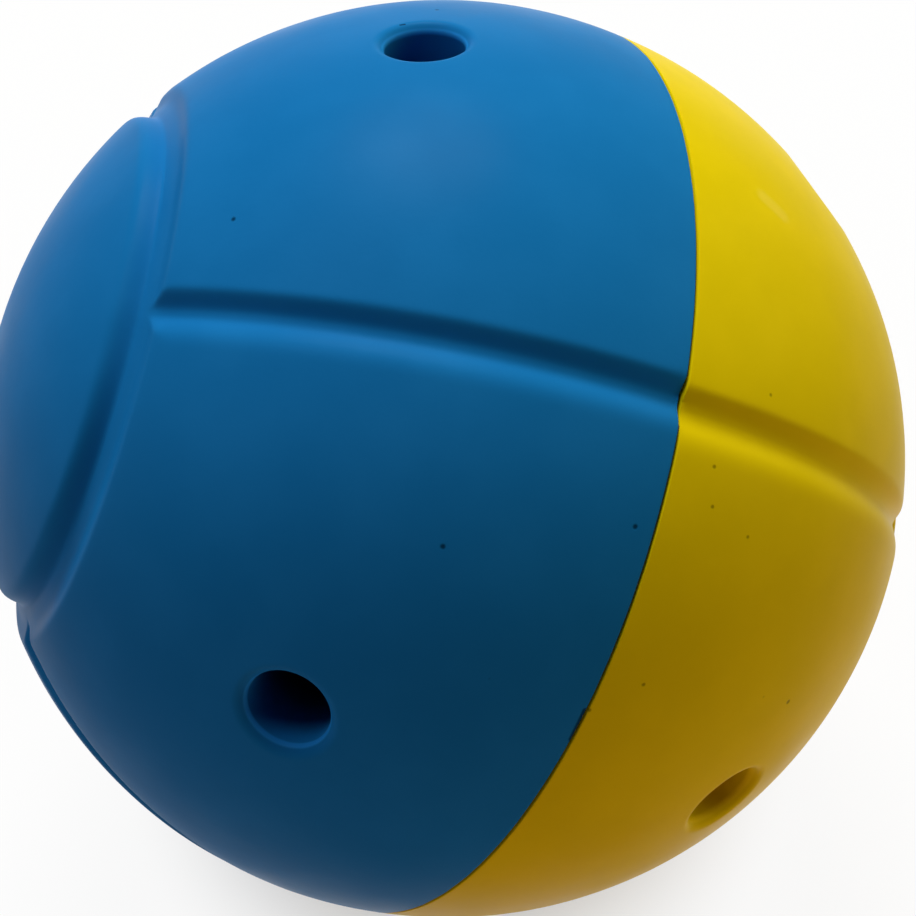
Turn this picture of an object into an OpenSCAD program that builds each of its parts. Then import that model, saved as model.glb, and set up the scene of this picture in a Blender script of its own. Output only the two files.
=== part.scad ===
// Hollow foam ball: two moulded half shells, glued rim to rim, with grooves and through-going air holes.
// It lies on the rim of one hole, so the hole opposite to it faces straight up. The origin is its centre.

/* [Ball] */
// Diameter of the round skin of each half
ball_d = 76; // [60:1:110]
// Thickness of the shell's wall at the seam
wall_t = 9; // [5:0.5:14]
// How far beyond the seam each half's skin is centred, so that the ball is longer from pole to pole
pole_rise = 0.25; // [0:0.05:0.4]

/* [Pole caps] */
// Diameter of the cove's deepest line around each pole cap
cap_ring_d = 42; // [35:0.2:46]
// How far a cap stands proud of the panels
cap_rise = 0.2; // [0.05:0.05:0.4]
// Radius of a cap's rounded shoulder
cap_shoulder_r = 2.6; // [1:0.1:4]
// Width of the cove between the slopes of its two walls, at the skin
cap_groove_w = 3.7; // [3:0.1:5]
// Depth of the cove
cap_groove_depth = 0.92; // [0.84:0.02:1.4]

/* [Straight grooves] */
// Number of straight grooves, and of holes, around each half
panels = 4; // [4:2:6]
// Width of a straight groove where it meets the skin
groove_w = 3.4; // [2.6:0.1:4.4]
// Depth of a straight groove
groove_depth = 0.72; // [0.4:0.02:0.86]
// Roundness of all groove floors: 1 is one arc from edge to edge, less leaves straighter walls
groove_roundness = 0.78; // [0.6:0.02:0.96]

/* [Air holes] */
// Diameter of an air hole
hole_d = 5.8; // [4:0.1:8]
// Width of the lip around the mouth of a hole
hole_lip_w = 0.9; // [0.7:0.05:1.4]
// Radius of the lip's rounding at the skin
hole_lip_r = 0.6; // [0.3:0.05:0.8]
// Slope of the lip's funnel, between its rounding and the bore
hole_funnel = 55; // [45:1:65]
// Angle between a hole and its pole
hole_polar = 63; // [58:0.5:70]

/* [Seam] */
// Thickness of the adhesive between the two rims
bond_t = 0.2; // [0.1:0.05:0.5]
// How far the adhesive stays below the skin
bond_recess = 0.3; // [0.1:0.05:0.8]

/* [Hidden] */
$fn = 96;

ball_r = ball_d / 2;
cavity_r = ball_r - wall_t;
// Room that a cutter keeps beyond the skin, so that no cut ends on it
cut_past = 3;
// Slight angle at which flat and round surfaces meet, instead of a tangent
run_in = 8;

// Grooves: two sloped walls and a round floor, smaller than the circle through both edges and the floor
function edge_x(w) = sqrt(pow(ball_r, 2) - pow(w / 2, 2));
function sag(w, depth) = depth - ball_r + edge_x(w);
function full_r(w, depth) = (pow(w / 2, 2) + pow(sag(w, depth), 2)) / (2 * sag(w, depth));
function floor_r(w, depth) = groove_roundness * full_r(w, depth);
function floor_x(w, depth) = ball_r - depth + floor_r(w, depth);
function wall_reach(w, depth) = floor_r(w, depth) * cos(run_in);
function edge_rise(w, depth) = floor_x(w, depth) - edge_x(w);
function wall_slope(w, depth) =
    asin(wall_reach(w, depth) / norm([edge_rise(w, depth), w / 2])) - atan2(edge_rise(w, depth), w / 2);

// Shoulder of a cap: a circle that runs from the cap's skin to the wall of the cove
cap_r = ball_r + cap_rise;
cap_polar = asin(cap_ring_d / 2 / ball_r);
cove_slope = wall_slope(cap_groove_w, cap_groove_depth);
cove_out = [cos(cove_slope), -sin(cove_slope)];
cove_up = [sin(cove_slope), cos(cove_slope)];
cove_wall_at = floor_x(cap_groove_w, cap_groove_depth) * cos(cove_slope)
    - wall_reach(cap_groove_w, cap_groove_depth);
shoulder_out = cove_wall_at - cap_shoulder_r * cos(run_in);
shoulder_far = sqrt(pow(cap_r, 2) + pow(cap_shoulder_r, 2) - 2 * cap_r * cap_shoulder_r * cos(run_in));
shoulder_at = shoulder_out * cove_out + sqrt(pow(shoulder_far, 2) - pow(shoulder_out, 2)) * cove_up;

groove_sweep = 180 - 2 * cap_polar;

// Notch of the adhesive under a straight groove: the circle through the groove's edges and floor
bond_notch_r = full_r(groove_w, groove_depth);
bond_notch_x = ball_r - bond_recess - groove_depth + bond_notch_r;

// Air hole: the rounding's top stands past the skin, which is a little tilted there, so the two cross clearly
lip_past = 0.02;
hole_r = hole_d / 2;
mouth_r = hole_r + hole_lip_w;
lip_tilt = mouth_r * pole_rise * sin(hole_polar) / ball_r;
lip_z = pole_rise * cos(hole_polar) + sqrt(pow(ball_r, 2) - pow(mouth_r, 2))
    + lip_tilt + lip_past - hole_lip_r;
funnel_x = mouth_r - hole_lip_r * cos(run_in) * sin(hole_funnel);
funnel_z = lip_z + hole_lip_r * cos(run_in) * cos(hole_funnel);
crest_z = funnel_z - (funnel_x - hole_r) * tan(hole_funnel);
hole_inner = cavity_r * 3 / 4;

// Turns the ball from its pole axis upright to lying on the rim of a hole, blue pole towards -X
module lying() {
    rotate([0, -hole_polar, 0])
        children();
}

// Section of a groove, with the skin's centre at the origin and the skin at x = ball_r
module groove_section(w, depth) {
    slope = wall_slope(w, depth);
    run_x = floor_x(w, depth) - wall_reach(w, depth) * cos(slope);
    run_y = wall_reach(w, depth) * sin(slope);
    top_x = ball_r + cut_past;
    top_y = run_y + (top_x - run_x) / tan(slope);
    polygon([[run_x, -run_y], [run_x, run_y], [top_x, top_y], [top_x, -top_y]]);
    translate([floor_x(w, depth), 0])
        circle(r = floor_r(w, depth));
}

// Section of the cove, with the rounded shoulder of the cap on its +y side
module cove_section() {
    reach = cap_shoulder_r + cut_past;
    skyward = shoulder_at / norm(shoulder_at);
    difference() {
        union() {
            groove_section(cap_groove_w, cap_groove_depth);
            polygon([
                shoulder_at,
                shoulder_at + reach * cove_out,
                shoulder_at + reach * (cove_out + skyward),
                shoulder_at + reach * skyward
            ]);
        }
        translate(shoulder_at)
            circle(r = cap_shoulder_r);
    }
}

// Skin of one half in section, around its own centre: the panels, and the cap inside the cove's middle line
module skin_section() {
    cap_edge = cap_r + cut_past;
    circle(r = ball_r);
    intersection() {
        circle(r = cap_r);
        polygon([[0, 0], [0, cap_edge], cap_edge * [sin(cap_polar), cos(cap_polar)]]);
    }
}

// Wall of one half, cut through its pole: skin, cove and cavity
module shell_profile() {
    difference() {
        intersection() {
            translate([0, pole_rise])
                difference() {
                    skin_section();
                    rotate(90 - cap_polar)
                        cove_section();
                }
            translate([0, bond_t / 2])
                square(cap_r + cut_past);
        }
        circle(r = cavity_r);
    }
}

// Straight grooves from one cap's cove to the other's, set midway between the holes
module straight_grooves() {
    for (i = [0 : panels - 1])
        rotate([90, 0, (i + 0.5) * 360 / panels])
            rotate_extrude(angle = groove_sweep, start = -groove_sweep / 2)
                groove_section(groove_w, groove_depth);
}

// One air hole along +Z: its bore, and at the skin a lip with a short funnel and a rounding
module air_hole() {
    rotate_extrude()
        difference() {
            polygon([
                [0, hole_inner],
                [hole_r, hole_inner],
                [hole_r, crest_z],
                [funnel_x, funnel_z],
                [mouth_r, lip_z],
                [mouth_r, ball_r + cut_past],
                [0, ball_r + cut_past]
            ]);
            translate([mouth_r, lip_z])
                circle(r = hole_lip_r);
        }
}

// One half with its pole up, the same moulding for both colours
module half_shell() {
    difference() {
        rotate_extrude()
            shell_profile();
        translate([0, 0, pole_rise])
            straight_grooves();
        for (i = [0 : panels - 1])
            rotate([0, hole_polar, i * 360 / panels])
                air_hole();
    }
}

// Blue half, on the +pole side of the seam
module blue_half() {
    color("#1f78b4")
        lying()
            half_shell();
}

// Yellow half: the other moulding, rim to rim with the blue one
module yellow_half() {
    color("#e6cc1a")
        lying()
            mirror([0, 0, 1])
                half_shell();
}

// Adhesive between the two rims, a little below the skin and below the grooves that cross the seam
module seam_bond() {
    color("#33302a")
        lying()
            difference() {
                rotate_extrude()
                    translate([cavity_r, -bond_t / 2])
                        square([wall_t - bond_recess, bond_t]);
                for (i = [0 : panels - 1])
                    rotate((i + 0.5) * 360 / panels)
                        translate([bond_notch_x, 0])
                            cylinder(r = bond_notch_r, h = 3 * bond_t, center = true);
            }
}

blue_half();
yellow_half();
seam_bond();
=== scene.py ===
# %% [markdown]
# # A hollow two-tone foam ball
# The ball is two moulded half shells of foam rubber, one blue and one yellow, glued rim to rim. The CAD frame
# holds the exact sizes; this lesson adds what a CAD solid can't show: soft edges, a slightly uneven skin, the
# seam's small faults and the finish of the foam.

# %% Load the frame
import math

import bmesh
import bpy
from mathutils import Matrix, Vector


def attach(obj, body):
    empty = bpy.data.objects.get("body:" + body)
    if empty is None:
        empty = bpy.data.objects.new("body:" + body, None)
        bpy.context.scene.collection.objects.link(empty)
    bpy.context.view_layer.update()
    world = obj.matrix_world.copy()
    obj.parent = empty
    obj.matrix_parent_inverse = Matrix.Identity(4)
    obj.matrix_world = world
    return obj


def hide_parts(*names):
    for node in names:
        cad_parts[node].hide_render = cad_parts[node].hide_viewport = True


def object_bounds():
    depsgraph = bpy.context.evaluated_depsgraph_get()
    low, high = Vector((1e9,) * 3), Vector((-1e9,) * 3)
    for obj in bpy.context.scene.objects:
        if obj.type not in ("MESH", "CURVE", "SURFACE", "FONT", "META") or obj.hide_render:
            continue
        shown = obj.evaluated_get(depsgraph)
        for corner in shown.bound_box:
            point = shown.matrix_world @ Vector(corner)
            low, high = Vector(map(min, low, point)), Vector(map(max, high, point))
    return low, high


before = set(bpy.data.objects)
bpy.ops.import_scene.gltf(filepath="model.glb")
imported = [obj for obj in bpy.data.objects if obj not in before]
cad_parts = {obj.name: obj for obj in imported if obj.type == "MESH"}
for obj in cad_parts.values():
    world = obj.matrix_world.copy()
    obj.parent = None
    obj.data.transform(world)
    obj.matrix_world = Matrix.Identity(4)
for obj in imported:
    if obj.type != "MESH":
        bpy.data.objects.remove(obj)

cad_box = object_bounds()
print("pieces in the frame:", sorted(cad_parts))
print("CAD box in mm:", [[round(v * 1000, 2) for v in corner] for corner in cad_box])

# %% [markdown]
# ## The camera
# The ball's outline and the curve of its seam give the place of the lens: a circle seen in perspective bends in
# one way only. The lens was 3.36 ball radii from the centre. A small shift puts the ball a little left of the
# middle, and a small roll turns the whole picture by two and a half degrees.

# %% Camera
BALL_R = 0.038
VIEW_AZIMUTH = math.radians(-7.24)
VIEW_ELEVATION = math.radians(38.61)
VIEW_ROLL = math.radians(-2.54)
VIEW_RADII = 3.358
SENSOR, LENS = 36.0, 57.75
SHIFT_X, SHIFT_Y = 0.0164, 0.0006
CLIP_START = 0.005

camera_data = bpy.data.cameras.new("photo_camera")
camera_data.sensor_width, camera_data.lens = SENSOR, LENS
camera_data.shift_x, camera_data.shift_y = SHIFT_X, SHIFT_Y
camera_data.clip_start = CLIP_START
camera = bpy.data.objects.new("photo_camera", camera_data)
bpy.context.scene.collection.objects.link(camera)
to_camera = Vector((
    math.sin(VIEW_AZIMUTH) * math.cos(VIEW_ELEVATION),
    -math.cos(VIEW_AZIMUTH) * math.cos(VIEW_ELEVATION),
    math.sin(VIEW_ELEVATION),
))
upright = to_camera.to_track_quat("Z", "Y").to_matrix().to_4x4()
rolled = upright @ Matrix.Rotation(VIEW_ROLL, 4, "Z")
camera.matrix_world = Matrix.Translation(to_camera * VIEW_RADII * BALL_R) @ rolled
bpy.context.scene.camera = camera
print("camera at", [round(v * 1000, 1) for v in camera.matrix_world.translation], "mm")

# %% [markdown]
# ## Light
# The skin is brightest where it faces up and a little away from the camera, so one broad soft lamp hangs above
# and behind the ball. A weaker one on the upper left lights the crest of the lower hole, and a warm one on the right
# models the yellow half. Two low lamps stand where a photographer would hold a white card, to lift the sides.

# %% Lamps
LAMP_DISTANCE = 0.75
PLAIN_WHITE, KEY_WHITE = (1, 1, 1), (1, 0.99, 0.94)
WARM_WHITE, COOL_WHITE = (1, 0.93, 0.5), (0.75, 0.88, 1)


def hang_lamp(name, azimuth, elevation, size, power, colour):
    """Round soft lamp that faces the ball; azimuth counts from +Y towards +X."""
    data = bpy.data.lights.new(name, "AREA")
    data.shape = "DISK"
    data.size = size
    data.energy = power
    data.color = colour
    lamp = bpy.data.objects.new(name, data)
    bpy.context.scene.collection.objects.link(lamp)
    turn, rise = math.radians(azimuth), math.radians(elevation)
    place = Vector((
        math.sin(turn) * math.cos(rise),
        math.cos(turn) * math.cos(rise),
        math.sin(rise),
    ))
    lamp.location = place * LAMP_DISTANCE
    lamp.rotation_euler = place.to_track_quat("Z", "Y").to_euler()
    print(name, "at", [round(v, 2) for v in lamp.location], "m")


hang_lamp("overhead_softbox", azimuth=4, elevation=68, size=0.35, power=4.9, colour=KEY_WHITE)
hang_lamp("left_softbox", azimuth=-95, elevation=70, size=0.25, power=0.85, colour=PLAIN_WHITE)
hang_lamp("right_softbox", azimuth=82, elevation=26, size=0.5, power=1.0, colour=WARM_WHITE)
hang_lamp("right_card", azimuth=112, elevation=5, size=0.3, power=0.5, colour=WARM_WHITE)
hang_lamp("left_card", azimuth=-88, elevation=10, size=0.3, power=0.25, colour=COOL_WHITE)

# %% [markdown]
# ## A helper for node trees
# Worlds, materials and Geometry Nodes are all node trees: boxes with sockets, joined by links. Made one call at a
# time they take many lines. This small class makes a node, fills its sockets with numbers or links and hands back
# its output, so that the code further down reads like the sum that the nodes work out.

# %% Wiring of node trees
class Wiring:
    """Adds nodes to a tree and connects them."""

    def __init__(self, tree):
        self.tree = tree

    def node(self, kind, **settings):
        made = self.tree.nodes.new(kind)
        for key, value in settings.items():
            setattr(made, key, value)
        return made

    def join(self, source, socket):
        if isinstance(source, bpy.types.NodeSocket):
            self.tree.links.new(source, socket)
        else:
            socket.default_value = source

    def filled(self, kind, values, **settings):
        """Node with its named sockets filled."""
        made = self.node(kind, **settings)
        for name, value in values.items():
            self.join(value, made.inputs[name])
        return made

    def maths(self, operation, *values):
        made = self.node("ShaderNodeMath", operation=operation)
        for value, socket in zip(values, made.inputs):
            self.join(value, socket)
        return made.outputs[0]

    def vector(self, operation, *values, scalar=False):
        made = self.node("ShaderNodeVectorMath", operation=operation)
        for value, socket in zip(values, made.inputs):
            self.join(value, socket)
        return made.outputs["Value" if scalar else "Vector"]

    def scaled(self, vector, factor):
        made = self.node("ShaderNodeVectorMath", operation="SCALE")
        self.join(vector, made.inputs[0])
        self.join(factor, made.inputs["Scale"])
        return made.outputs[0]

    def part(self, vector, axis):
        """One of the three numbers of a vector."""
        return self.filled("ShaderNodeSeparateXYZ", {0: vector}).outputs[axis]

    def window(self, value, low, high, out_low=0.0, out_high=1.0):
        """Eased change from out_low to out_high while value goes from low to high."""
        limits = {"From Min": low, "From Max": high, "To Min": out_low, "To Max": out_high}
        return self.filled("ShaderNodeMapRange", {"Value": value, **limits}, interpolation_type="SMOOTHSTEP").outputs[0]

    def noise(self, place, seed, scale, detail):
        values = {"Vector": place, "W": seed, "Scale": scale, "Detail": detail}
        return self.filled("ShaderNodeTexNoise", values, noise_dimensions="4D").outputs[0]

    def blend(self, share, first, second):
        """Colour that goes from first to second while share goes from 0 to 1."""
        return self.filled("ShaderNodeMix", {"Factor": share, 6: first, 7: second}, data_type="RGBA").outputs[2]

    def either(self, share, first, second):
        """Shader that goes from first to second while share goes from 0 to 1."""
        return self.filled("ShaderNodeMixShader", {0: share, 1: first, 2: second}).outputs[0]


def fresh_tree(owner):
    """Empties the node tree of a world or a material."""
    owner.use_nodes = True
    owner.node_tree.nodes.clear()
    return Wiring(owner.node_tree)


# %% [markdown]
# ## World and floor
# Both show white to the camera and in reflections, without lighting the ball as a white room would. The Light Path
# node tells these rays from scattered light. Close under the ball the floor shows its own shading instead, so that it
# keeps the shadow. For scattered light it has a duller, warm colour, which is what reaches the underside.

# %% World
WHITE = (1, 1, 1, 1)
AMBIENT = 0.01


def seen_directly(w):
    """1 for rays from the camera and for mirrored and refracted ones, 0 for scattered light."""
    path = w.node("ShaderNodeLightPath").outputs
    seen = w.maths("MAXIMUM", path["Is Camera Ray"], path["Is Glossy Ray"])
    return w.maths("MAXIMUM", seen, path["Is Transmission Ray"])


world = bpy.data.worlds.new("pale_studio")
bpy.context.scene.world = world
w = fresh_tree(world)
pale = w.filled("ShaderNodeBackground", {"Color": WHITE, "Strength": 1.0}).outputs[0]
dim = w.filled("ShaderNodeBackground", {"Color": WHITE, "Strength": AMBIENT}).outputs[0]
w.filled("ShaderNodeOutputWorld", {"Surface": w.either(seen_directly(w), dim, pale)})
bpy.context.scene.view_settings.view_transform = "Standard"
print("world for scattered light:", AMBIENT)

# %% Paint of the floor
FLOOR_Z = cad_box[0][2]
FLOOR_GLOW = 0.93
SHADE_NEAR, SHADE_FAR, SHADE_END = 0.004, 0.034, 0.4
FLOOR_MATT, FLOOR_BOUNCE = (0.9, 0.9, 0.9, 1), (0.76, 0.52, 0.48, 1)

floor_paint = bpy.data.materials.new("pale_floor")
w = fresh_tree(floor_paint)
place = w.node("ShaderNodeTexCoord").outputs["Object"]
away = w.vector("DISTANCE", place, (0, 0, FLOOR_Z), scalar=True)
out_of_shade = w.window(away, SHADE_NEAR, SHADE_FAR)
whitened = w.window(away, SHADE_FAR, SHADE_END, FLOOR_GLOW, 1.0)
matt = w.filled("ShaderNodeBsdfDiffuse", {"Color": FLOOR_MATT}).outputs[0]
glow = w.filled("ShaderNodeEmission", {"Color": WHITE, "Strength": 1.0}).outputs[0]
shown = w.either(w.maths("MULTIPLY", out_of_shade, whitened), matt, glow)
dull = w.filled("ShaderNodeBsdfDiffuse", {"Color": FLOOR_BOUNCE}).outputs[0]
w.filled("ShaderNodeOutputMaterial", {"Surface": w.either(seen_directly(w), dull, shown)})
print("floor shows its own shading out to", round(SHADE_FAR * 1000), "mm")

# %% Floor
FLOOR_HALF = 3.0
corners = [(x * FLOOR_HALF, y * FLOOR_HALF, FLOOR_Z) for x, y in ((-1, -1), (1, -1), (1, 1), (-1, 1))]
floor_mesh = bpy.data.meshes.new("floor")
floor_mesh.from_pydata(corners, [], [(0, 1, 2, 3)])
floor_mesh.materials.append(floor_paint)
floor = bpy.data.objects.new("floor", floor_mesh)
bpy.context.scene.collection.objects.link(floor)
print("floor at z =", round(FLOOR_Z * 1000, 2), "mm")

# %% [markdown]
# ## A quarter of a half shell
# Each half has the same pattern four times round its pole: a panel with one air hole in its middle. So only one
# quarter is meshed, in the mould's own position with the pole straight up. Its rows of points start on
# the panel's four edges, close in on the hole, go round its lip, through the wall and back out along the inside.
# Rows that follow the panel's edges are what the grooves need, because the grooves run along those edges.

# %% Sizes of the moulding
RIM = 0.0001
WALL = 0.009
PANELS = 4
CAVITY_R = BALL_R - WALL
CAP_POLAR = math.radians(33.5)
HOLE_POLAR = math.radians(63)
SECTOR = math.pi / PANELS


def on_ball(polar, azimuth):
    """Unit direction at an angle from the pole and an angle round it."""
    return Vector((
        math.sin(polar) * math.cos(azimuth),
        math.sin(polar) * math.sin(azimuth),
        math.cos(polar),
    ))


print("radius round a pole cap:", round(BALL_R * math.sin(CAP_POLAR) * 1000, 2), "mm")

# %% [markdown]
# Points along a panel's edge stand closer together near its corners, where two grooves meet and where a groove
# crosses the seam. Even spacing would need several times as many points for the same smooth corner.

# %% Edge of a panel
ALONG_CAP, ALONG_GROOVE, ALONG_SEAM = 56, 60, 92
EVEN_SHARE = 0.25


def graded(start, end, count):
    """Places from start towards end, closer together near both ends."""
    places = []
    for i in range(count):
        share = i / count
        eased = (1 - math.cos(math.pi * share)) / 2
        places.append(start + (end - start) * (EVEN_SHARE * share + (1 - EVEN_SHARE) * eased))
    return places


def panel_edge(radius):
    """Directions round a panel: along the cap, down a groove, back along the seam and up the other groove."""
    rim_polar = math.acos(RIM / radius)
    edge = [on_ball(CAP_POLAR, a) for a in graded(-SECTOR, SECTOR, ALONG_CAP)]
    edge += [on_ball(p, SECTOR) for p in graded(CAP_POLAR, rim_polar, ALONG_GROOVE)]
    edge += [on_ball(rim_polar, a) for a in graded(SECTOR, -SECTOR, ALONG_SEAM)]
    edge += [on_ball(p, -SECTOR) for p in graded(rim_polar, CAP_POLAR, ALONG_GROOVE)]
    return edge


print("points round a panel:", len(panel_edge(BALL_R)))

# %% [markdown]
# The rows lie close together where the grooves and the seam's edge will bend the skin, and wide apart on the
# plain skin between. The spacing is set in millimetres across a groove and kept as a share of the way to the hole.

# %% Spacing of the rows
EDGE_TO_HOLE = 22.2
SEAM_ZONE, GROOVE_ZONE = 0.4, 3.6
SEAM_STEP, GROOVE_STEP, SKIN_STEP = 0.03, 0.16, 1.0
SEAM_GROWTH, SKIN_GROWTH = 1.35, 1.2
LIP_GAP, LIP_STEP = 0.4, 0.25


def row_shares():
    """Shares of the way from a panel's edge (0) to the hole's lip (1)."""
    place, step, shares = 0.0, SEAM_STEP, []
    while place < EDGE_TO_HOLE - LIP_GAP:
        shares.append(place / EDGE_TO_HOLE)
        place += step
        if place < SEAM_ZONE:
            step = min(step * SEAM_GROWTH, GROOVE_STEP)
        elif place > GROOVE_ZONE:
            step = min(step * SKIN_GROWTH, SKIN_STEP)
    return shares + [1 - LIP_STEP / EDGE_TO_HOLE, 1.0]


shares = row_shares()
print("rows on the skin:", len(shares))

# %% [markdown]
# ## The mouth of a hole
# The real holes have a stepped lip: the skin rolls over softly, falls as a short funnel, and meets the bore in a
# crest that catches the light. Its outline is one list of steps, each a distance from the hole's axis and a depth
# below the skin, so the mesh and the drawing of the lip stay the same thing.

# %% Outline of the mouth
MOUTH_R, HOLE_R = 0.0038, 0.0029
MOUTH_ROUND, CREST_ROUND = 0.0008, 0.0007
FUNNEL = math.radians(46)
MOUTH_ROWS, CREST_ROWS = 7, 7


def mouth_outline():
    """Steps from the skin over the lip to the bore: distance from the axis and depth."""
    steps = []
    for k in range(1, MOUTH_ROWS + 1):
        turn = FUNNEL * k / MOUTH_ROWS
        steps.append((MOUTH_R - MOUTH_ROUND * math.sin(turn), MOUTH_ROUND * (1 - math.cos(turn))))
    rolled_out, rolled_depth = steps[-1]
    crest_out = HOLE_R + CREST_ROUND * (1 - math.sin(FUNNEL))
    crest_depth = rolled_depth + (rolled_out - crest_out) * math.tan(FUNNEL)
    steps.append(((rolled_out + crest_out) / 2, (rolled_depth + crest_depth) / 2))
    foot = crest_depth + CREST_ROUND * math.cos(FUNNEL)
    for k in range(CREST_ROWS + 1):
        turn = FUNNEL + (math.pi / 2 - FUNNEL) * k / CREST_ROWS
        steps.append((HOLE_R + CREST_ROUND * (1 - math.sin(turn)), foot - CREST_ROUND * math.cos(turn)))
    return steps


print("crest of the lip below the skin:", round(mouth_outline()[-1][1] * 1000, 2), "mm")

# %% [markdown]
# Every point of a panel's edge looks towards the hole along its own great circle. The rows are steps on those
# circles: over the skin to the lip, down the lip and the bore, and then back along the inside of the wall.

# %% Rows from the panel's edge, through the hole, to the inside
BORE_ROWS, INSIDE_ROWS = 4, 5
INSIDE_EASE = 1.2
hole_axis = on_ball(HOLE_POLAR, 0)
mouth_turn = math.asin(MOUTH_R / BALL_R)


def towards(point):
    """Angle from the hole to a point of the panel's edge, and the direction in which it lies."""
    angle = math.acos(max(-1, min(1, point.dot(hole_axis))))
    return angle, (point - hole_axis * point.dot(hole_axis)).normalized()


def round_hole(angle, aim, radius):
    """Point on a ball, at an angle from the hole's axis."""
    return (hole_axis * math.cos(angle) + aim * math.sin(angle)) * radius


def skin_rows(aims):
    return [[round_hole(angle + (mouth_turn - angle) * share, aim, BALL_R) for angle, aim in aims] for share in shares]


def hole_rows(aims):
    rows = []
    for out, depth in mouth_outline():
        height = math.sqrt(BALL_R ** 2 - out ** 2) - depth
        rows.append([aim * out + hole_axis * height for angle, aim in aims])
    foot = rows[-1]
    inner = hole_axis * math.sqrt(CAVITY_R ** 2 - HOLE_R ** 2)
    for k in range(1, BORE_ROWS + 1):
        rows.append([p.lerp(aim * HOLE_R + inner, k / BORE_ROWS) for p, (angle, aim) in zip(foot, aims)])
    return rows


def inside_rows():
    rows = []
    start = math.asin(HOLE_R / CAVITY_R)
    aims = [towards(p) for p in panel_edge(CAVITY_R)]
    for k in range(1, INSIDE_ROWS + 1):
        share = (k / INSIDE_ROWS) ** INSIDE_EASE
        rows.append([round_hole(start + (angle - start) * share, aim, CAVITY_R) for angle, aim in aims])
    return rows


edge_aims = [towards(p) for p in panel_edge(BALL_R)]
print("rows through the hole:", len(hole_rows(edge_aims)), "and inside:", len(inside_rows()))

# %% [markdown]
# The quarter also needs its share of the round cap, outside and inside, and of the flat rim. A point attribute
# called skin says how far each point follows the moulded relief: fully on the outside, less and less towards
# the inside of the rim and down the holes, and not at all inside.

# %% Rows and faces of a quarter
class Quarter:
    """Points of a quarter, how far each follows the relief, and the faces between them."""

    def __init__(self):
        self.points, self.skin, self.faces = [], [], []

    def row(self, points, follows):
        """Adds a row of points and returns their numbers."""
        start = len(self.points)
        self.points += points
        self.skin += [follows] * len(points)
        return list(range(start, len(self.points)))

    def bridge(self, below, above):
        for i in range(len(below) - 1):
            self.faces.append((below[i], below[i + 1], above[i + 1], above[i]))


def add_panel(quarter):
    """Skin, lip, bore and inside of a panel; returns the first row and the last."""
    mouth, inside = hole_rows(edge_aims), inside_rows()
    fading = len(mouth) - MOUTH_ROWS
    follows = [1.0] * (len(shares) + MOUTH_ROWS)
    follows += [1 - (k + 1) / fading for k in range(fading)]
    follows += [0.0] * len(inside)
    loops = [quarter.row(row, f) for row, f in zip(skin_rows(edge_aims) + mouth + inside, follows)]
    for outer, inner in zip(loops, loops[1:]):
        quarter.bridge(inner + inner[:1], outer + outer[:1])
    return loops[0], loops[-1]


# %% Cap and rim of a quarter
CAP_ROWS_NEAR, CAP_ROWS_FAR, CAP_ROWS_INSIDE, RIM_ROWS = 24, 14, 6, 6
CAP_NEAR = 0.0046
cap_near = CAP_POLAR - CAP_NEAR / BALL_R
outer_polars = [CAP_POLAR + (cap_near - CAP_POLAR) * k / CAP_ROWS_NEAR for k in range(1, CAP_ROWS_NEAR + 1)]
outer_polars += [cap_near * (1 - k / CAP_ROWS_FAR) for k in range(1, CAP_ROWS_FAR)]
inner_polars = [CAP_POLAR * (1 - k / CAP_ROWS_INSIDE) for k in range(1, CAP_ROWS_INSIDE)]


def add_cap(quarter, border, polars, radius, follows, inwards):
    """Rows from a panel's border up to the pole; faces look inwards on the inside of the wall."""
    azimuths = graded(-SECTOR, SECTOR, ALONG_CAP) + [SECTOR]
    way = -1 if inwards else 1
    below = border[:ALONG_CAP + 1]
    for polar in polars:
        above = quarter.row([on_ball(polar, a) * radius for a in azimuths], follows)
        quarter.bridge(below[::way], above[::way])
        below = above
    pole = quarter.row([Vector((0, 0, radius))], follows)[0]
    for pair in zip(below, below[1:]):
        quarter.faces.append((*pair[::way], pole))


def add_rim(quarter, first, last):
    """Flat rim between the outer and the inner skin, along the seam."""
    start = ALONG_CAP + ALONG_GROOVE
    outer, inner = first[start:start + ALONG_SEAM + 1], last[start:start + ALONG_SEAM + 1]
    below = outer
    for k in range(1, RIM_ROWS):
        share = k / RIM_ROWS
        between = [quarter.points[a].lerp(quarter.points[b], share) for a, b in zip(outer, inner)]
        above = quarter.row(between, 1 - share)
        quarter.bridge(below, above)
        below = above
    quarter.bridge(below, inner)


print("rows on the cap:", len(outer_polars), "and inside it:", len(inner_polars))

# %% Mesh of the quarter
def quarter_mesh(name, side):
    """One quarter of a half shell; side is 1 for the half on the pole's side and -1 for the other."""
    quarter = Quarter()
    first, last = add_panel(quarter)
    add_cap(quarter, first, outer_polars, BALL_R, 1.0, inwards=False)
    add_cap(quarter, last, inner_polars, CAVITY_R, 0.0, inwards=True)
    add_rim(quarter, first, last)
    points, faces = quarter.points, quarter.faces
    if side < 0:
        points = [Vector((p.x, p.y, -p.z)) for p in points]
        faces = [tuple(reversed(f)) for f in faces]
    mesh = bpy.data.meshes.new(name)
    mesh.from_pydata(points, [], faces)
    mesh.attributes.new("skin", "FLOAT", "POINT").data.foreach_set("value", quarter.skin)
    mesh.update()
    print(name, "quarter:", len(points), "points and", len(faces), "faces")
    return mesh


# %% [markdown]
# ## The moulded relief
# The grooves follow a rule, so a Geometry Nodes tree cuts them. It sets the quarter four times round the pole,
# joins the borders, and then lowers each point of the skin by a depth that depends only on where the point is. A
# small rise towards the pole makes each half a trace longer than a true half ball, as its outline shows. Every size
# is a named input of the tree, with lengths in metres, so the two halves can differ a little.

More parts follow.
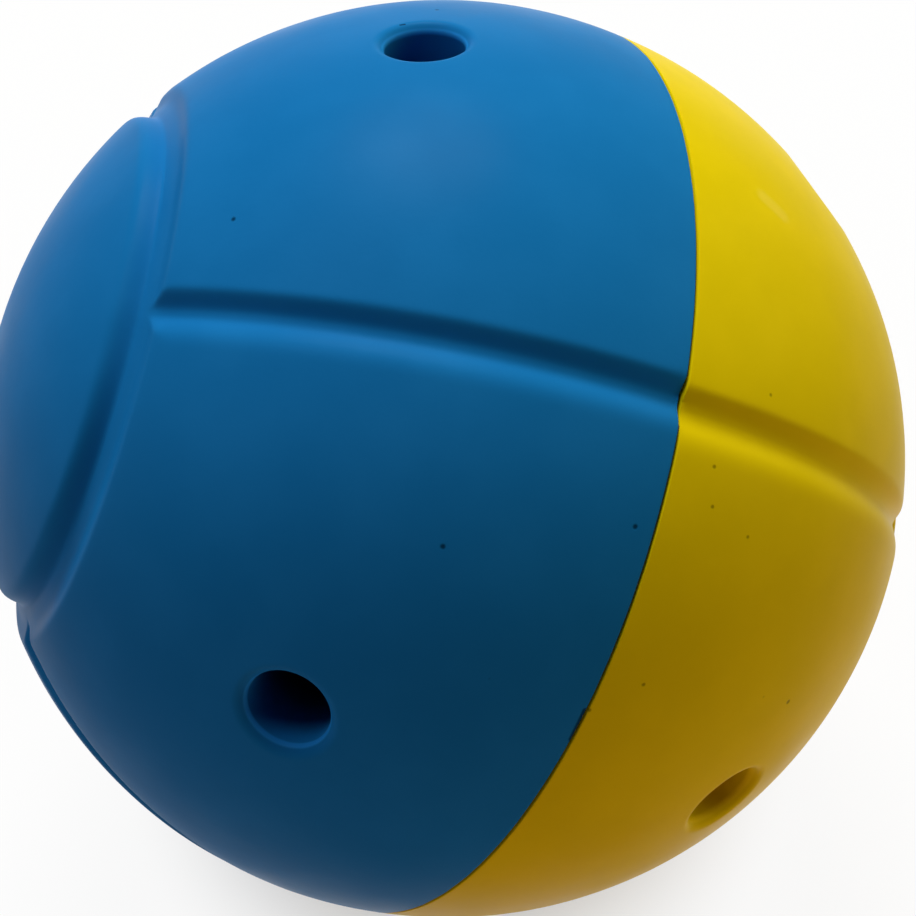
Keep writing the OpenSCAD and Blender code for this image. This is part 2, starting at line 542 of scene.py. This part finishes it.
# %% Inputs of the relief tree
RELIEF_INPUTS = [
    ("Panels", "Int", PANELS),
    ("Ball Radius", "Float", BALL_R),
    ("Cap Angle", "Float", CAP_POLAR),
    ("Pole Rise", "Float", 0.00025),
    ("Cap Rise", "Float", 0.0002),
    ("Cove Depth", "Float", 0.00092),
    ("Cap Slope", "Float", math.radians(46)),
    ("Cap Floor", "Float", 0.00102),
    ("Cap Foot", "Float", 0.00035),
    ("Cap Shoulder", "Float", 0.0008),
    ("Floor Tilt", "Float", math.radians(9)),
    ("Panel Slope", "Float", math.radians(22.5)),
    ("Panel Floor", "Float", 0.00051),
    ("Panel Foot", "Float", 0.0003),
    ("Panel Shoulder", "Float", 0.00034),
    ("Groove Depth", "Float", 0.00072),
    ("Groove Slope", "Float", math.radians(33)),
    ("Groove Floor", "Float", 0.00038),
    ("Groove Foot", "Float", 0.00029),
    ("Crisp Shoulder", "Float", 0.00034),
    ("Soft Shoulder", "Float", 0.0008),
    ("Groove Turn", "Float", 0.0),
    ("Rim Height", "Float", RIM),
    ("Seam Rounding", "Float", 0.00008),
    ("Burr", "Float", 0.00015),
    ("Unevenness", "Float", 0.00006),
    ("Lying Angle", "Float", -HOLE_POLAR),
    ("Seed", "Float", 0.0),
    ("Skin Finish", "Material", None),
]


def tree_inputs(tree, wanted):
    """Adds named inputs, with their first values, and returns the outputs of the group's input node."""
    tree.interface.new_socket("Geometry", in_out="INPUT", socket_type="NodeSocketGeometry")
    tree.interface.new_socket("Geometry", in_out="OUTPUT", socket_type="NodeSocketGeometry")
    for name, kind, value in wanted:
        socket = tree.interface.new_socket(name, in_out="INPUT", socket_type="NodeSocket" + kind)
        if value is not None:
            socket.default_value = value
    return tree.nodes.new("NodeGroupInput").outputs


print("inputs of the relief tree:", len(RELIEF_INPUTS))

# %% Part of the tree: four quarters round the pole
MERGE_GAP = 0.000002


def turned_by(w, angle, axis):
    """Rotation about one axis."""
    euler = w.filled("ShaderNodeCombineXYZ", {axis: angle}).outputs[0]
    return w.filled("FunctionNodeEulerToRotation", {0: euler}).outputs[0]


def four_quarters(w, given):
    """The quarter set round the pole, with its borders joined."""
    spots = w.filled("GeometryNodePoints", {"Count": given["Panels"]}).outputs[0]
    index = w.node("GeometryNodeInputIndex").outputs[0]
    turn = w.maths("DIVIDE", w.maths("MULTIPLY", index, 2 * math.pi), given["Panels"])
    quarters = w.filled("GeometryNodeInstanceOnPoints", {
        "Points": spots, "Instance": given["Geometry"], "Rotation": turned_by(w, turn, "Z")}).outputs[0]
    whole = w.filled("GeometryNodeRealizeInstances", {0: quarters}).outputs[0]
    return w.filled("GeometryNodeMergeByDistance", {"Geometry": whole, "Distance": MERGE_GAP}).outputs[0]


# %% [markdown]
# Each groove is a level floor that turns into sloped walls; Smooth Minimum rounds the foot of a wall and Smooth
# Maximum rounds its shoulder. The cove round the cap has a soft, wide shoulder and a steep wall on the cap's side;
# from there its floor climbs gently to a short wall on the panels' side. A straight groove has one crisp shoulder
# and one soft one.

# %% Part of the tree: the cove round the cap
def groove_wall(w, distance, depth, floor, slope, foot):
    """Depth of a floor that turns into a rising wall at a distance from the groove's middle."""
    fall = w.maths("MULTIPLY", w.maths("SUBTRACT", distance, floor), w.maths("TANGENT", slope))
    return w.maths("SMOOTH_MIN", depth, w.maths("SUBTRACT", depth, fall), foot)


def cove_sides(w, given, past):
    """Depth of the cove on the cap's side and on the panels' side; past is the distance beyond its middle."""
    cap_side = groove_wall(w, w.maths("MULTIPLY", past, -1.0), given["Cove Depth"], given["Cap Floor"],
                           given["Cap Slope"], given["Cap Foot"])
    cap_level = w.maths("MULTIPLY", given["Cap Rise"], -1.0)
    cap_side = w.maths("SMOOTH_MAX", cap_side, cap_level, given["Cap Shoulder"])
    climb = w.maths("MULTIPLY", w.maths("ADD", past, given["Cap Floor"]), w.maths("TANGENT", given["Floor Tilt"]))
    cove_floor = w.maths("SUBTRACT", given["Cove Depth"], climb)
    panel_side = groove_wall(w, past, cove_floor, given["Panel Floor"], given["Panel Slope"], given["Panel Foot"])
    return cap_side, panel_side


# %% Part of the tree: the straight grooves
SHOULDER_CHANGE = 0.0005
COVE_END, PANEL_START = 0.0016, 0.0032
CROSSING_ROUND = 0.00015


def groove_depths(w, given, outward):
    """Depth of all grooves together, and of the straight ones alone."""
    radius = given["Ball Radius"]
    polar = w.maths("ARCCOSINE", w.maths("ABSOLUTE", w.part(outward, "Z")))
    past = w.maths("MULTIPLY", w.maths("SUBTRACT", polar, given["Cap Angle"]), radius)
    cap_side, panel_side = cove_sides(w, given, past)

    turned = w.filled("ShaderNodeVectorRotate", {"Vector": outward, "Angle": given["Groove Turn"]},
                      rotation_type="Z_AXIS").outputs[0]
    across = w.maths("SUBTRACT", w.maths("ABSOLUTE", w.part(turned, "X")), w.maths("ABSOLUTE", w.part(turned, "Y")))
    across = w.maths("MULTIPLY", w.maths("MULTIPLY", across, math.sqrt(0.5)), radius)
    straight = groove_wall(w, w.maths("ABSOLUTE", across), given["Groove Depth"], given["Groove Floor"],
                           given["Groove Slope"], given["Groove Foot"])

    shoulder = w.window(across, -SHOULDER_CHANGE, SHOULDER_CHANGE, given["Soft Shoulder"], given["Crisp Shoulder"])
    shoulder = w.window(past, COVE_END, PANEL_START, given["Panel Shoulder"], shoulder)
    panel_side = w.maths("SMOOTH_MAX", panel_side, straight, CROSSING_ROUND)
    panel_side = w.maths("SMOOTH_MAX", panel_side, 0.0, shoulder)
    return w.maths("MINIMUM", cap_side, panel_side), w.maths("MAXIMUM", straight, 0.0)


# %% [markdown]
# At the seam each half has a finely rounded edge. Where a groove crosses it, a little ragged foam was left standing,
# so noise raises a small burr there, and hardly any on the plain skin. A second, much broader noise gives the slight
# unevenness of a skin that shrank in its mould.

# %% Part of the tree: the seam's edge
BURR_SCALE, BURR_DETAIL = 1400.0, 1.0
BURR_FROM, BURR_FULL = 0.5, 0.72
BURR_NEAR, BURR_FAR = 0.00005, 0.0004
BURR_SHALLOW, BURR_DEEP, BURR_ON_SKIN = 0.0001, 0.0005, 0.15


def seam_edge(w, given, place, straight):
    """Depth of the rounded edge beside the seam, less the ragged burr that stands on it."""
    above = w.maths("SUBTRACT", w.maths("ABSOLUTE", w.part(place, "Z")), given["Rim Height"])
    radius = given["Seam Rounding"]
    into = w.maths("MINIMUM", w.maths("MAXIMUM", w.maths("SUBTRACT", radius, above), 0.0), radius)
    rest = w.maths("SUBTRACT", w.maths("MULTIPLY", radius, radius), w.maths("MULTIPLY", into, into))
    edge = w.maths("SUBTRACT", radius, w.maths("SQRT", w.maths("MAXIMUM", rest, 0.0)))
    ragged = w.window(w.noise(place, given["Seed"], BURR_SCALE, BURR_DETAIL), BURR_FROM, BURR_FULL)
    beside = w.window(above, BURR_NEAR, BURR_FAR, 1.0, 0.0)
    in_groove = w.window(straight, BURR_SHALLOW, BURR_DEEP, BURR_ON_SKIN, 1.0)
    burr = w.maths("MULTIPLY", w.maths("MULTIPLY", ragged, beside), w.maths("MULTIPLY", in_groove, given["Burr"]))
    return w.maths("SUBTRACT", edge, burr)


# %% Part of the tree: unevenness
BROAD_SCALE, BROAD_DETAIL = 70.0, 1.0
FINE_SCALE, FINE_DETAIL, FINE_SHARE = 320.0, 2.0, 0.25


def uneven_skin(w, given, place):
    """Depth of the shallow dents in the skin."""
    broad = w.maths("SUBTRACT", w.noise(place, given["Seed"], BROAD_SCALE, BROAD_DETAIL), 0.5)
    fine = w.maths("SUBTRACT", w.noise(place, given["Seed"], FINE_SCALE, FINE_DETAIL), 0.5)
    fine = w.maths("MULTIPLY", fine, FINE_SHARE)
    return w.maths("ABSOLUTE", w.maths("MULTIPLY", w.maths("ADD", broad, fine), given["Unevenness"]))


# %% Tree: quarters, relief, and the ball laid on its hole
def pressed_skin(w, given):
    """The whole half with the relief pressed into its skin."""
    whole = four_quarters(w, given)
    place = w.node("GeometryNodeInputPosition").outputs[0]
    outward = w.vector("NORMALIZE", place)
    relief, straight = groove_depths(w, given, outward)
    edge = seam_edge(w, given, place, straight)
    lift = w.maths("MULTIPLY", w.maths("ABSOLUTE", w.part(outward, "Z")), given["Pole Rise"])
    dents = w.maths("SUBTRACT", uneven_skin(w, given, place), lift)
    sink = w.maths("ADD", w.maths("ADD", relief, edge), dents)
    follows = w.filled("GeometryNodeInputNamedAttribute", {"Name": "skin"}, data_type="FLOAT").outputs["Attribute"]
    rise = w.maths("MULTIPLY", w.maths("MULTIPLY", sink, follows), -1.0)
    return w.filled("GeometryNodeSetPosition", {"Geometry": whole, "Offset": w.scaled(outward, rise)}).outputs[0]


def relief_tree():
    tree = bpy.data.node_groups.new("moulded_half", "GeometryNodeTree")
    given = tree_inputs(tree, RELIEF_INPUTS)
    w = Wiring(tree)
    laid = w.filled("GeometryNodeTransform", {
        "Geometry": pressed_skin(w, given), "Rotation": turned_by(w, given["Lying Angle"], "Y")}).outputs[0]
    smooth = w.filled("GeometryNodeSetShadeSmooth", {"Geometry": laid}).outputs[0]
    real = w.filled("GeometryNodeRealizeInstances", {0: smooth}).outputs[0]
    finished = w.filled("GeometryNodeSetMaterial", {"Geometry": real, "Material": given["Skin Finish"]}).outputs[0]
    w.filled("NodeGroupOutput", {0: finished})
    return tree


moulded_half = relief_tree()
print("nodes in the relief tree:", len(moulded_half.nodes))

# %% [markdown]
# ## The foam's skin
# Moulded foam rubber has a closed satin skin, coloured through. Seen close it is a little blotchy, with pinholes
# where bubbles broke through and a fine grain. Inside the holes there is no skin, only raw foam, painted much darker
# as shade, and the crest of each lip has a painted highlight, a paler band. All of it reads the place on the object, so
# it stays put when the ball is turned. A few marks belong to this one ball: dark specks, a nick, a dark stroke along
# the seam's edge and a pale rub. Each is a short stroke, given by its two ends and half its width; a stroke without
# length is a dot.

# %% Part of the finish: marks
PER_METRE = 1000
MARK_CORE = 0.3
SHORTEST = 1e-12


def marks(w, place, strokes):
    """1 on the strokes and 0 beside them; ends and half widths are in mm."""
    cover = 0.0
    for start, end, half_width in strokes:
        along = (Vector(end) - Vector(start)) / PER_METRE
        from_start = w.vector("SUBTRACT", place, Vector(start) / PER_METRE)
        share = w.vector("DOT_PRODUCT", from_start, along / max(along.length_squared, SHORTEST), scalar=True)
        nearest = w.scaled(along, w.maths("MINIMUM", w.maths("MAXIMUM", share, 0.0), 1.0))
        away = w.vector("DISTANCE", from_start, nearest, scalar=True)
        edge = half_width / PER_METRE
        cover = w.maths("MAXIMUM", w.window(away, edge * MARK_CORE, edge, 1.0, 0.0), cover)
    return cover


def dots(half_width, *places):
    return [(place, place, half_width) for place in places]


# %% Part of the finish: colour of the skin
BLOTCH_SCALE, BLOTCH_DETAIL, BLOTCH_FROM, BLOTCH_FULL = 150.0, 3.0, 0.35, 0.7
PALE_SHARE, RUB_STRENGTH = 0.25, 0.12
BUBBLE_SCALE, PINHOLE_CORE, PINHOLE_EDGE = 260.0, 0.03, 0.07
SPECK_STRENGTH = 0.85


def skin_colour(w, place, colour, deep, speck_tone, seed, specks, rubs):
    """Colour of the skin with its blotches, rubs and specks, and 1 in every pinhole or speck."""
    blotches = w.window(w.noise(place, seed, BLOTCH_SCALE, BLOTCH_DETAIL), BLOTCH_FROM, BLOTCH_FULL)
    tone = w.blend(blotches, deep, colour)
    pale = tuple(c + (1 - c) * PALE_SHARE for c in colour[:3]) + (1,)
    tone = w.blend(w.maths("MULTIPLY", marks(w, place, rubs), RUB_STRENGTH), tone, pale)
    bubbles = w.filled("ShaderNodeTexVoronoi", {"Vector": place, "W": seed, "Scale": BUBBLE_SCALE},
                       voronoi_dimensions="4D").outputs["Distance"]
    pinhole = w.window(bubbles, PINHOLE_CORE, PINHOLE_EDGE, 1.0, 0.0)
    pinhole = w.maths("MAXIMUM", pinhole, marks(w, place, specks))
    dark = tuple(c * speck_tone for c in colour[:3]) + (1,)
    return w.blend(w.maths("MULTIPLY", pinhole, SPECK_STRENGTH), tone, dark), pinhole


# %% Part of the finish: lips of the holes
# The crest of each lip is given a painted highlight: a paler band of the skin's own colour.
CREST_BELOW, CREST_ABOVE = (0.3, 0.5), (0.7, 0.9)
CREST_HIGHLIGHT_SHARE = 0.7
MOST_HIGHLIGHT_GAIN, PALEST, HIGHLIGHT_LIFT = 1.8, 0.97, 0.01
# Down each hole the colour turns into raw foam, painted much darker as shade.
SHADED_RAW_UNTIL, SKIN_FROM = 0.08, 0.28


def lip_colour(w, tone, colour, shaded_raw_foam):
    """Painted highlight on each lip's crest, and raw foam painted dark as shade below it, by the attribute that fades
    down the hole.
    """
    skin = w.node("ShaderNodeAttribute", attribute_name="skin").outputs["Fac"]
    crest = w.maths("MULTIPLY", w.window(skin, *CREST_BELOW), w.window(skin, *CREST_ABOVE, 1.0, 0.0))
    highlight_gain = min(MOST_HIGHLIGHT_GAIN, PALEST / max(colour[:3]))
    painted_highlight = tuple(c * highlight_gain + HIGHLIGHT_LIFT for c in colour[:3]) + (1,)
    tone = w.blend(w.maths("MULTIPLY", crest, CREST_HIGHLIGHT_SHARE), tone, painted_highlight)
    return w.blend(w.window(skin, SHADED_RAW_UNTIL, SKIN_FROM), shaded_raw_foam, tone)


# %% Foam finish
ROUGH_SEED, ROUGH_SCALE, ROUGH_DETAIL = 3.0, 90.0, 4.0
ROUGH_FROM, ROUGH_FULL, ROUGH_LEAST, ROUGH_MOST = 0.3, 0.7, 0.28, 0.4
GRAIN_SEED, GRAIN_SCALE, GRAIN_DETAIL, GRAIN_HEIGHT = 5.0, 2600.0, 2.0, 0.25
BUMP = {"Strength": 0.25, "Distance": 0.0001}
GLOSS_OF_SKIN = 0.009


def foam_finish(name, colour, deep, shaded_raw_foam, speck_tone, seed, specks=(), rubs=()):
    paint = bpy.data.materials.new(name)
    w = fresh_tree(paint)
    place = w.node("ShaderNodeTexCoord").outputs["Object"]
    tone, pinhole = skin_colour(w, place, colour, deep, speck_tone, seed, specks, rubs)
    # Painted highlight on the lips' crests, and painted shade down the holes.
    tone = lip_colour(w, tone, colour, shaded_raw_foam)
    satin = w.noise(place, seed + ROUGH_SEED, ROUGH_SCALE, ROUGH_DETAIL)
    grain = w.noise(place, seed + GRAIN_SEED, GRAIN_SCALE, GRAIN_DETAIL)
    height = w.maths("SUBTRACT", w.maths("MULTIPLY", grain, GRAIN_HEIGHT), pinhole)
    foam = w.filled("ShaderNodeBsdfPrincipled", {
        "Base Color": tone,
        "Roughness": w.window(satin, ROUGH_FROM, ROUGH_FULL, ROUGH_LEAST, ROUGH_MOST),
        "Normal": w.filled("ShaderNodeBump", {"Height": height, **BUMP}).outputs[0],
        "Specular IOR Level": GLOSS_OF_SKIN,
    }).outputs[0]
    w.filled("ShaderNodeOutputMaterial", {"Surface": foam})
    return paint


# %% Blue foam
BLUE_SPECKS = dots(0.24, (-14.69, -13.09, 32.51), (-4.37, -32.47, 19.26), (7.82, -32.21, 18.59))
# A nick at the mouth of the top hole, and a dark stroke along the seam's edge.
BLUE_NICK_AND_SEAM_STROKE = [
    ((-0.95, 3.37, 37.84), (-1.3, 3.29, 37.84), 0.11),
    ((3.75, -37.01, 7.77), (2.75, -37.47, 5.68), 0.22),
]
# Its raw foam is painted much darker than the skin, as shade inside the holes and the ball.
blue_foam = foam_finish(
    "blue_foam_skin", colour=(0.01, 0.197, 0.53, 1), deep=(0.008, 0.183, 0.5, 1), shaded_raw_foam=(0.0008, 0.018, 0.05, 1),
    speck_tone=0.12, seed=1.7, specks=BLUE_SPECKS + BLUE_NICK_AND_SEAM_STROKE)
print("finish:", blue_foam.name, "with", len(blue_foam.node_tree.nodes), "nodes")

# %% Yellow foam
YELLOW_SPECKS = dots(
    0.2, (7.79, -36.21, 8.50), (18.67, -24.83, 21.89), (29.69, -17.45, 16.06), (13.69, -29.21, 20.09),
    (13.28, -30.69, 18.05), (15.75, -31.00, 15.34), (4.07, -37.0, 7.66))
YELLOW_RUBS = [((22.0, -11.3, 28.9), (23.3, -11.9, 27.6), 0.9)]
# Its raw foam is painted much darker than the skin, as shade inside the holes and the ball.
yellow_foam = foam_finish(
    "yellow_foam_skin", colour=(0.88, 0.67, 0.002, 1), deep=(0.84, 0.64, 0.001, 1), shaded_raw_foam=(0.075, 0.042, 0.001, 1),
    speck_tone=0.4, seed=8.3, specks=YELLOW_SPECKS, rubs=YELLOW_RUBS)
print("finish:", yellow_foam.name, "with", len(yellow_foam.node_tree.nodes), "nodes")

# %% [markdown]
# ## The two halves
# Both halves come from the same tree. The yellow one starts from the mirrored quarter, and its own seed gives it
# its own unevenness. Its straight grooves are rounder than those of the blue half and sit about a degree off them,
# as they do on the real ball. The result is turned into a plain mesh, which rides on the ball's only body.

# %% Press a half
def press_half(name, side, values):
    half = bpy.data.objects.new(name, quarter_mesh(name, side))
    bpy.context.scene.collection.objects.link(half)
    modifier = half.modifiers.new("relief", "NODES")
    modifier.node_group = moulded_half
    for socket in moulded_half.interface.items_tree:
        if socket.in_out == "INPUT" and socket.name in values:
            modifier[socket.identifier] = values[socket.name]
    evaluated = half.evaluated_get(bpy.context.evaluated_depsgraph_get())
    mesh = bpy.data.meshes.new_from_object(evaluated)
    half.modifiers.remove(modifier)
    half.data = mesh
    mesh.name = name
    return half


def report_mesh(piece):
    shape = bmesh.new()
    shape.from_mesh(piece.data)
    open_edges = sum(1 for e in shape.edges if not e.is_manifold)
    triangles = sum(len(f.verts) - 2 for f in shape.faces)
    volume = round(shape.calc_volume(signed=True) * 1e6, 2)
    print(piece.name, "triangles", triangles, "open edges", open_edges, "volume cm3", volume)
    shape.free()


# %% Both halves
blue_half = press_half("blue_foam_half", 1, {
    "Seed": 2.0,
    "Skin Finish": blue_foam,
    "Pole Rise": 0.00009,
    "Cap Rise": 0.00022,
})
yellow_half = press_half("yellow_foam_half", -1, {
    "Seed": 6.0,
    "Skin Finish": yellow_foam,
    "Pole Rise": 0.00039,
    "Groove Turn": math.radians(0.9),
    "Groove Depth": 0.00063,
    "Groove Floor": 0.0005,
    "Groove Foot": 0.00065,
    "Crisp Shoulder": 0.0004,
    "Soft Shoulder": 0.0011,
    "Burr": 0.00005,
})
for piece in (blue_half, yellow_half):
    report_mesh(piece)

# %% Hand the halves to the frame
for piece, node, slot in ((blue_half, "blue_half", "blue_foam"), (yellow_half, "yellow_half", "yellow_foam")):
    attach(piece, "root")
    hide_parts(node)

# %% [markdown]
# ## The seam
# The adhesive's CAD solid has the right shape already: a thin ring a little below the skin. It only needs a dark
# rubbery finish, broken up a little so that the hairline isn't one even tone.

# %% Adhesive finish
GLUE_SCALE, GLUE_DETAIL, GLUE_ROUGHNESS = 400.0, 2.0, 0.6
GLUE_DARK, GLUE_PALE = (0.012, 0.014, 0.010, 1), (0.05, 0.05, 0.03, 1)

glue = bpy.data.materials.new("seam_adhesive")
w = fresh_tree(glue)
place = w.node("ShaderNodeTexCoord").outputs["Object"]
patches = w.filled("ShaderNodeValToRGB", {0: w.noise(place, 0.0, GLUE_SCALE, GLUE_DETAIL)})
for element, colour in zip(patches.color_ramp.elements, (GLUE_DARK, GLUE_PALE)):
    element.color = colour
rubber = w.filled("ShaderNodeBsdfPrincipled", {"Base Color": patches.outputs[0], "Roughness": GLUE_ROUGHNESS})
w.filled("ShaderNodeOutputMaterial", {"Surface": rubber.outputs[0]})
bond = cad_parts["seam_bond"]
bond.data.materials.clear()
bond.data.materials.append(glue)
print("seam ring finished:", bond.name)
